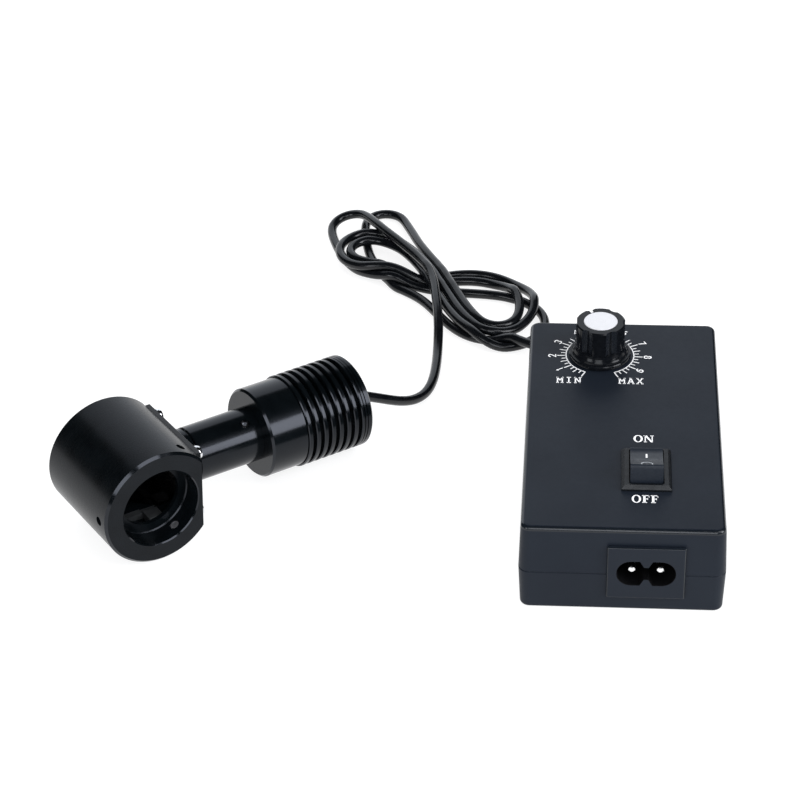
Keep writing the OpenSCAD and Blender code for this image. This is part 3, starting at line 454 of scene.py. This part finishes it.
def cap_look():
    """A spun aluminium disc: fine rings round the knob's axis."""
    k = Look("cap_metal_look", metallic=0.15, specular_ior_level=0.6)
    ring = k.lathe((-7.5 * MM, 37 * MM, 44 * MM), (0, 0, 1), 3600, 3.0)
    k.colours(k.mix(ring, k.noise(500, 3.0), 0.3), (0.6, 0.6, 0.625), (0.69, 0.69, 0.71), 0.45, 0.85)
    k.span(ring, 0.32, 0.46, "Roughness")
    k.bump(ring, 0.25, 0.01)
    return k.mat


def cord_look():
    """Extruded black sheath: slightly drawn surface with faint scuffs."""
    k = Look("cord_sheath_look", specular_ior_level=0.36)
    g = k.noise(420, 4.0, 0.6)
    k.colours(g, (0.0022, 0.0027, 0.0036), (0.0042, 0.0049, 0.0062))
    k.span(k.noise(260, 4.0), 0.15, 0.27, "Roughness")
    k.bump(g, 0.12, 0.03)
    return k.mat


look["cap"] = cap_look()
look["cord"] = cord_look()

parts_by_look = {
    "case": ["upper_case", "lower_case"],
    "inlet": ["inlet_housing"],
    "switch": ["switch_frame"],
    "rocker": ["rocker"],
    "knob": ["dimmer_knob"],
    "cap": ["knob_cap"],
    "mark": ["knob_pointer"],
    "head": ["head_body"],
    "arm": ["light_tube", "lamp_collar", "lens_ring"],
    "sink": ["heat_sink"],
    "ring": ["rear_ring"],
    "bore": ["splitter_holder"],
    "plate": ["side_plate"],
    "chrome": ["case_screws", "board_screws", "side_plate_screws", "led_screws"],
    "grub": ["clamp_screw_a", "clamp_screw_b", "clamp_screw_c"],
    "grub_dark": ["tube_screw"],
    "pin": ["inlet_pins"],
    "steel": ["pot_body", "pot_nut", "pot_washer", "pot_shaft", "pot_terminals"],
    "brass": ["pot_wiper", "switch_plunger", "switch_lever", "switch_terminals"],
    "carbon": ["pot_track"],
    "board": ["circuit_board"],
    "ferrite": ["transformer_core"],
    "tape": ["transformer_winding"],
    "can": ["input_capacitor", "output_capacitor"],
    "chip": ["driver_transistor"],
    "glass": ["fuse", "condenser_lens"],
    # the splitter's near-black glass is painted shade
    "mirror": ["beam_splitter"],
    "wire": ["mains_wires", "dimmer_wires", "output_wires", "lamp_leads"],
    "rubber": ["cord_gland", "rear_grommet"],
    "cord": ["cord_lead", "cord_hank", "cord_tail"],
    "led_board": ["led_board"],
    "led": ["led_emitter"],
}
for key, names in parts_by_look.items():
    for n in names:
        nodes[n].data.materials.clear()
        nodes[n].data.materials.append(look[key])
cord.data.materials.append(look["cord"])


def second_look(name, key, test):
    """Gives the faces of a node that pass the test another material."""
    me = nodes[name].data
    me.materials.append(look[key])
    slot = len(me.materials) - 1
    for f in me.polygons:
        if test(f.center / MM, f.normal):
            f.material_index = slot


def from_head(p):
    """A point of the part, in millimetres, in the head's own axes."""
    d = Vector(p) - Vector((-142.9, -37.9, HEAD_R))
    return [d.dot(Vector(hv(e))) for e in ((1, 0, 0), (0, 1, 0), (0, 0, 1))]


def in_bore(p, n):
    x, y, z = from_head(p)
    return y > 0.45 and sqrt(x * x + z * z) < 13.3


def on_front_bevel(p, n):
    """The bevels round the head's front face and round the mouth of its bore."""
    return from_head(p)[1] < 0.85 and 0.5 < abs(n.dot(Vector(hv((0, 1, 0))))) < 0.9


def on_deep_bevel(p, n):
    return 7.1 < from_head(p)[1] < 7.55 and 0.5 < abs(n.dot(Vector(hv((0, 1, 0))))) < 0.9


def on_collar_bevel(p, n):
    return from_head(p)[0] < 45.6 and 0.5 < abs(n.dot(Vector(hv((1, 0, 0))))) < 0.9


def on_tab(p, n):
    x, y, z = from_head(p)
    return y < 16 and -11.7 < z < -9


def in_flute(p, n):
    """The hollows between the knob's ridges."""
    out = Vector((p.x + 7.5, p.y - 37, 0))
    return 35 < p.z < 43.3 and out.length > 6.6 and abs(n.z) < 0.3 and 0.2 < n.dot(out.normalized()) < 0.985


# painted shade inside the inlet's opening
second_look("inlet_housing", "inlet_recess_painted_shade", lambda p, n: p.y > -58.3 and abs(p.x - 7.2) < 9.05 and abs(p.z - 15.2) < 4.6)
# the inlet bezel's front bevels and the case's rounded top edges take the glossier edge look, whose darker colour is
# painted shade
second_look("inlet_housing", "glossy_edge_painted_shade", lambda p, n: p.y < -57.9 and n.y < -0.2 and abs(n.x) + abs(n.z) > 0.3 and p.z > 5)
second_look("upper_case", "glossy_edge_painted_shade", lambda p, n: p.z > 28.9 and 0.15 < n.z < 0.97)
second_look("head_body", "bore", in_bore)
second_look("head_body", "bore_edge", on_deep_bevel)
second_look("head_body", "head_edge", on_front_bevel)
second_look("lamp_collar", "arm_edge", on_collar_bevel)
second_look("heat_sink", "arm_edge", lambda p, n: 0.5 < abs(n.dot(Vector(hv((1, 0, 0))))) < 0.9)
# painted light on the holder's tab
second_look("splitter_holder", "tab_painted_light", on_tab)
# painted shade: the side plate's front edge faces take the darker bore colour
second_look("side_plate", "bore", lambda p, n: n.dot(Vector(hv((0, 1, 0)))) < -0.7)
# painted light on the knob's hollows
second_look("dimmer_knob", "knob_hollow_painted_light", in_flute)


def soften(name, angle=32, width=0.0, segments=2):
    """Joins a faceted node's faces for shading and rounds its sharp edges a little."""
    o = nodes[name]
    me = o.data
    if "custom_normal" in me.attributes:
        me.attributes.remove(me.attributes["custom_normal"])
    me.polygons.foreach_set("use_smooth", [True] * len(me.polygons))
    if "sharp_edge" in me.attributes:
        me.attributes.remove(me.attributes["sharp_edge"])
    weld = o.modifiers.new("weld", "WELD")
    weld.merge_threshold = 2e-6
    if width:
        b = o.modifiers.new("edges", "BEVEL")
        b.width = width * MM
        b.segments = segments
        b.limit_method = "ANGLE"
        b.angle_limit = radians(angle)
        b.harden_normals = False
        w = o.modifiers.new("even", "WEIGHTED_NORMAL")
        w.weight = 90
        w.keep_sharp = False
    else:
        s = o.modifiers.new("split", "EDGE_SPLIT")
        s.split_angle = radians(angle)
        w = o.modifiers.new("even", "WEIGHTED_NORMAL")
        w.weight = 100
        w.keep_sharp = False


for name in ("upper_case", "lower_case", "mains_wires", "dimmer_wires", "output_wires"):
    soften(name)
for name, width in (("inlet_housing", 0.22), ("switch_frame", 0.22), ("rocker", 0.18), ("side_plate", 0.18)):
    soften(name, 32, width, 3)



# ---------- printing ----------

class Print:
    """Ink a few hundredths of a millimetre thick, laid on a face."""

    def __init__(self, place, thick=0.04):
        self.bm = bmesh.new()
        self.place = place
        self.thick = thick

    def poly(self, pts):
        lo = [self.bm.verts.new(self.place(x, y, -0.02)) for x, y in pts]
        hi = [self.bm.verts.new(self.place(x, y, self.thick)) for x, y in pts]
        n = len(pts)
        self.bm.faces.new(hi)
        self.bm.faces.new(lo[::-1])
        for i in range(n):
            j = (i + 1) % n
            self.bm.faces.new((lo[i], lo[j], hi[j], hi[i]))

    def ribbon(self, pts, w, closed=False):
        P = [Vector(p) for p in pts]
        n = len(P)
        L, R = [], []
        for i in range(n):
            a = P[i] - P[i - 1] if i or closed else None
            b = P[(i + 1) % n] - P[i] if i < n - 1 or closed else None
            a = (a or b).normalized()
            b = (b or a).normalized()
            t = (a + b)
            t = t.normalized() if t.length > 1e-6 else a
            nrm = Vector((-t.y, t.x))
            k = min(1.6, 1 / max(0.35, nrm.dot(Vector((-a.y, a.x)))))
            L.append(P[i] + nrm * (w / 2 * k))
            R.append(P[i] - nrm * (w / 2 * k))
        for i in range(n if closed else n - 1):
            j = (i + 1) % n
            self.poly([R[i], R[j], L[j], L[i]])

    def ring(self, rx, ry, ix, iy, at=(0, 0), a0=0, a1=360, n=48):
        for i in range(n):
            p, q = radians(a0 + (a1 - a0) * i / n), radians(a0 + (a1 - a0) * (i + 1) / n)
            self.poly([(at[0] + ix * cos(p), at[1] + iy * sin(p)), (at[0] + rx * cos(p), at[1] + ry * sin(p)),
                       (at[0] + rx * cos(q), at[1] + ry * sin(q)), (at[0] + ix * cos(q), at[1] + iy * sin(q))])

    def done(self, name, body, key="mark"):
        o = mesh_object(name, self.bm)
        o.data.materials.append(look[key])
        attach(o, body)
        return o


TOP = 30.5


def on_panel(cx, cy, turn=0.0):
    c, s = cos(turn), sin(turn)
    return lambda x, y, h: ((cx + c * x - s * y) * MM, (cy + s * x + c * y) * MM, (TOP + h) * MM)


def bar(x0, y0, x1, y1):
    return [(x0, y0), (x1, y0), (x1, y1), (x0, y1)]


# bold roman capitals, one unit high
ROMAN = {
    "O": (0.84, lambda p, x, s: p.ring(0.42 * s[0], 0.52 * s[1], 0.235 * s[0], 0.44 * s[1], at=(x + 0.42 * s[0], 0.5 * s[1]))),
    "N": (0.92, [bar(0.11, 0.03, 0.2, 0.97), bar(0.74, 0.03, 0.83, 0.97), [(0.08, 1), (0.30, 1), (0.83, 0.0), (0.67, 0)],
                 bar(0.0, 0.92, 0.2, 1.0), bar(0.02, 0.0, 0.3, 0.08), bar(0.62, 0.92, 0.94, 1.0)]),
    "F": (0.72, [bar(0.12, 0.03, 0.34, 0.97), bar(0.02, 0.91, 0.68, 1.0), bar(0.02, 0.0, 0.46, 0.08),
                 [(0.60, 1.0), (0.68, 1.0), (0.68, 0.68), (0.64, 0.68)], bar(0.3, 0.47, 0.52, 0.56),
                 [(0.50, 0.64), (0.55, 0.64), (0.55, 0.38), (0.50, 0.38)]]),
}
# typewriter capitals, one unit high
SLAB = {
    "M": (1.0, [((0.16, 0.05), (0.16, 0.95)), ((0.84, 0.05), (0.84, 0.95)), ((0.14, 0.95), (0.5, 0.4)), ((0.86, 0.95), (0.5, 0.4)),
                ((0.0, 0.06), (0.36, 0.06)), ((0.64, 0.06), (1.0, 0.06)), ((0.0, 0.94), (0.22, 0.94)), ((0.78, 0.94), (1.0, 0.94))]),
    "I": (1.0, [((0.5, 0.05), (0.5, 0.95)), ((0.2, 0.06), (0.8, 0.06)), ((0.2, 0.94), (0.8, 0.94))]),
    "N": (1.0, [((0.18, 0.05), (0.18, 0.95)), ((0.82, 0.05), (0.82, 0.95)), ((0.16, 0.95), (0.84, 0.05)),
                ((0.0, 0.06), (0.38, 0.06)), ((0.0, 0.94), (0.24, 0.94)), ((0.62, 0.94), (1.0, 0.94))]),
    "A": (1.0, [((0.14, 0.05), (0.48, 0.95)), ((0.86, 0.05), (0.52, 0.95)), ((0.26, 0.34), (0.74, 0.34)),
                ((0.0, 0.06), (0.32, 0.06)), ((0.68, 0.06), (1.0, 0.06)), ((0.3, 0.94), (0.58, 0.94))]),
    "X": (1.0, [((0.14, 0.05), (0.86, 0.95)), ((0.86, 0.05), (0.14, 0.95)), ((0.0, 0.06), (0.32, 0.06)),
                ((0.68, 0.06), (1.0, 0.06)), ((0.02, 0.94), (0.32, 0.94)), ((0.68, 0.94), (0.98, 0.94))]),
}
DIGIT = {
    "1": [[(-0.14, 0.8), (0.04, 1.0), (0.04, 0.0)]],
    "2": [[(-0.28, 0.74), (-0.24, 0.89), (-0.12, 0.98), (0.05, 1.0), (0.2, 0.93), (0.26, 0.77), (0.2, 0.59), (0.02, 0.38),
           (-0.28, 0.0), (0.3, 0.0)]],
    "3": [[(-0.26, 0.86), (-0.12, 0.98), (0.06, 1.0), (0.22, 0.9), (0.25, 0.74), (0.16, 0.58), (-0.04, 0.53)],
          [(-0.04, 0.53), (0.18, 0.48), (0.28, 0.28), (0.22, 0.1), (0.04, 0.0), (-0.14, 0.02), (-0.28, 0.16)]],
    "4": [[(0.14, 0.0), (0.14, 1.0), (-0.3, 0.3), (0.32, 0.3)]],
    "5": [[(0.24, 1.0), (-0.2, 1.0), (-0.24, 0.56), (-0.08, 0.63), (0.1, 0.62), (0.25, 0.5), (0.28, 0.3), (0.2, 0.1),
           (0.02, 0.0), (-0.16, 0.03), (-0.28, 0.15)]],
    "6": [[(0.2, 0.94), (0.02, 1.0), (-0.16, 0.88), (-0.26, 0.6), (-0.27, 0.32), (-0.2, 0.1), (0.0, 0.0), (0.2, 0.08),
           (0.28, 0.3), (0.2, 0.52), (0.0, 0.6), (-0.2, 0.5), (-0.27, 0.34)]],
    "7": [[(-0.28, 1.0), (0.28, 1.0), (0.04, 0.45), (-0.06, 0.0)]],
    "8": [[(0.22 * cos(radians(a)), 0.765 + 0.235 * sin(radians(a))) for a in range(-90, 271, 30)],
          [(0.28 * cos(radians(a)), 0.265 + 0.265 * sin(radians(a))) for a in range(90, 451, 30)]],
}
DIGIT["9"] = [[(-x, 1 - y) for x, y in line] for line in DIGIT["6"]]


def roman_word(name, word, cx, cy, width, height):
    """Bold roman word centred at (cx, cy) on the panel, of that size in millimetres."""
    gap = 0.07
    total = sum(ROMAN[c][0] for c in word) + gap * (len(word) - 1)
    sx = width / total
    p = Print(on_panel(cx - width / 2, cy - height / 2))
    x = 0.0
    for c in word:
        w, shape = ROMAN[c]
        if callable(shape):
            shape(p, x * sx, (sx, height))
        else:
            for poly in shape:
                p.poly([((x + u) * sx, v * height) for u, v in poly])
        x += w + gap
    return p.done(name, "box")


def slab_word(name, word, cx, cy, width, height, ink):
    cell = width / (len(word) + 0.24 * (len(word) - 1))
    p = Print(on_panel(cx - width / 2, cy - height / 2))
    for i, c in enumerate(word):
        x = i * cell * 1.24
        for a, b in SLAB[c][1]:
            p.ribbon([(x + a[0] * cell, a[1] * height), (x + b[0] * cell, b[1] * height)], ink)
    return p.done(name, "box")


roman_word("print_on", "ON", 6.4, -10.0, 6.3, 3.6)
roman_word("print_off", "OFF", 6.6, -41.4, 8.15, 3.8)
slab_word("print_min", "MIN", -17.5, 22.0, 8.1, 3.4, 0.4)
slab_word("print_max", "MAX", 2.6, 22.1, 8.1, 3.4, 0.4)


def dial(cx=-7.5, cy=37.0):
    p = Print(on_panel(cx, cy))
    r0, w = 11.15, 0.34
    p.ring(r0 + w / 2, r0 + w / 2, r0 - w / 2, r0 - w / 2, a0=-65, a1=245, n=124)
    for i in range(41):
        ang = radians(-155 + 7.75 * i)
        long = 2.9 if i % 4 == 0 else 2.4 if i % 2 == 0 else 1.65
        d = (sin(ang), cos(ang))
        p.ribbon([(d[0] * r0, d[1] * r0), (d[0] * (r0 + long), d[1] * (r0 + long))], 0.34 if i % 4 == 0 else 0.3)
    p.done("print_dial", "box")
    for k in range(1, 10):
        ang = radians(-155 + 31 * k)
        q = Print(on_panel(cx + 15.7 * sin(ang), cy + 15.7 * cos(ang), -ang))
        for line in DIGIT[str(k)]:
            q.ribbon([(x * 2.5, (y - 0.5) * 2.3) for x, y in line], 0.38)
        q.done("print_" + str(k), "box")


dial()


ROCKER_TOP = [(0, 4.86), (1.2, 4.9), (4.4, 5.2), (5.2, 5.34), (5.9, 5.56), (6.5, 5.84), (6.85, 6.0), (7.1, 6.02)]


def on_rocker(y_side):
    """Places ink on the rocker's rear (+1) or front (-1) half: x across, y along from the middle, h above it."""
    tilt = radians(-15)

    def place(x, y, h):
        up = float(np.interp(y, [q[0] for q in ROCKER_TOP], [q[1] for q in ROCKER_TOP])) + h
        along = y_side * y
        wy = along * cos(tilt) - up * sin(tilt)
        wz = along * sin(tilt) + up * cos(tilt)
        return ((7.1 + x) * MM, (-27.4 + wy) * MM, (29.5 + wz) * MM)

    return place


p = Print(on_rocker(1))
for k in range(3):
    p.poly(bar(-0.27, 1.4 + 0.85 * k, 0.27, 2.25 + 0.85 * k))
p.done("print_rocker_on", "rocker")
p = Print(on_rocker(-1))
p.ring(1.85, 1.9, 1.55, 1.6, at=(0, 4.5))
p.done("print_rocker_off", "rocker", "worn")


# ---------- floor and light ----------

def stage():
    bm = bmesh.new()
    bmesh.ops.create_circle(bm, cap_ends=True, radius=6, segments=96)
    for v in bm.verts:
        v.co.z = -0.0002
    floor = mesh_object("floor", bm)
    k = Look("floor_look", specular_ior_level=0.1, emission_color=(1, 1, 1, 1), emission_strength=0.80)
    g = k.noise(30, 2.0)
    k.colours(g, (0.29, 0.29, 0.29), (0.31, 0.31, 0.31))
    k.span(g, 0.7, 0.8, "Roughness")
    floor.data.materials.append(k.mat)

    world = bpy.data.worlds.new("world")
    scene.world = world
    world.use_nodes = True
    bg = next(n for n in world.node_tree.nodes if n.type == "BACKGROUND")
    bg.inputs["Color"].default_value = (1.0, 1.0, 1.0, 1)
    bg.inputs["Strength"].default_value = 0.85
    world.cycles_visibility.glossy = False

    def softbox(name, direction, dist, sx, sy, radiance, tint=(1, 1, 1), aim=(-0.06, 0.03, 0.02)):
        d = Vector(direction).normalized()
        data = bpy.data.lights.new(name, "AREA")
        data.shape = "RECTANGLE"
        data.size, data.size_y = sx, sy
        data.energy = radiance * pi * sx * sy
        data.color = tint
        o = link(bpy.data.objects.new(name, data))
        o.location = Vector(aim) + d * dist
        o.rotation_euler = (-d).to_track_quat("-Z", "Y").to_euler()
        return o

    def toward(el, az):
        return (cos(radians(el)) * cos(radians(az)), cos(radians(el)) * sin(radians(az)), sin(radians(el)))

    # a window on the right, a pale wall behind and three boxes in front
    softbox("window", toward(24.5, -21), 1.0, 0.40, 0.47, 9.0, (0.93, 0.95, 1.0))
    softbox("window_top", toward(43, -10), 1.0, 0.40, 0.10, 0.5, (0.93, 0.95, 1.0))
    softbox("back_wall", toward(24, 105), 1.2, 1.5, 1.08, 1.32, (0.88, 0.93, 1.0))
    softbox("front_low", (-0.04, -0.89, 0.45), 1.3, 0.6, 0.62, 4.0, (0.92, 0.95, 1.0))
    softbox("front_left", toward(20, -130), 1.3, 0.44, 0.56, 4.2, (0.92, 0.95, 1.0))
    softbox("front_high", toward(49, -45), 1.2, 0.7, 0.3, 4.4, (0.92, 0.94, 1.0))


stage()
scene.view_settings.view_transform = "Standard"
scene.view_settings.look = "None"
scene.view_settings.exposure = 0.0
scene.view_settings.gamma = 1.0

bpy.context.view_layer.update()
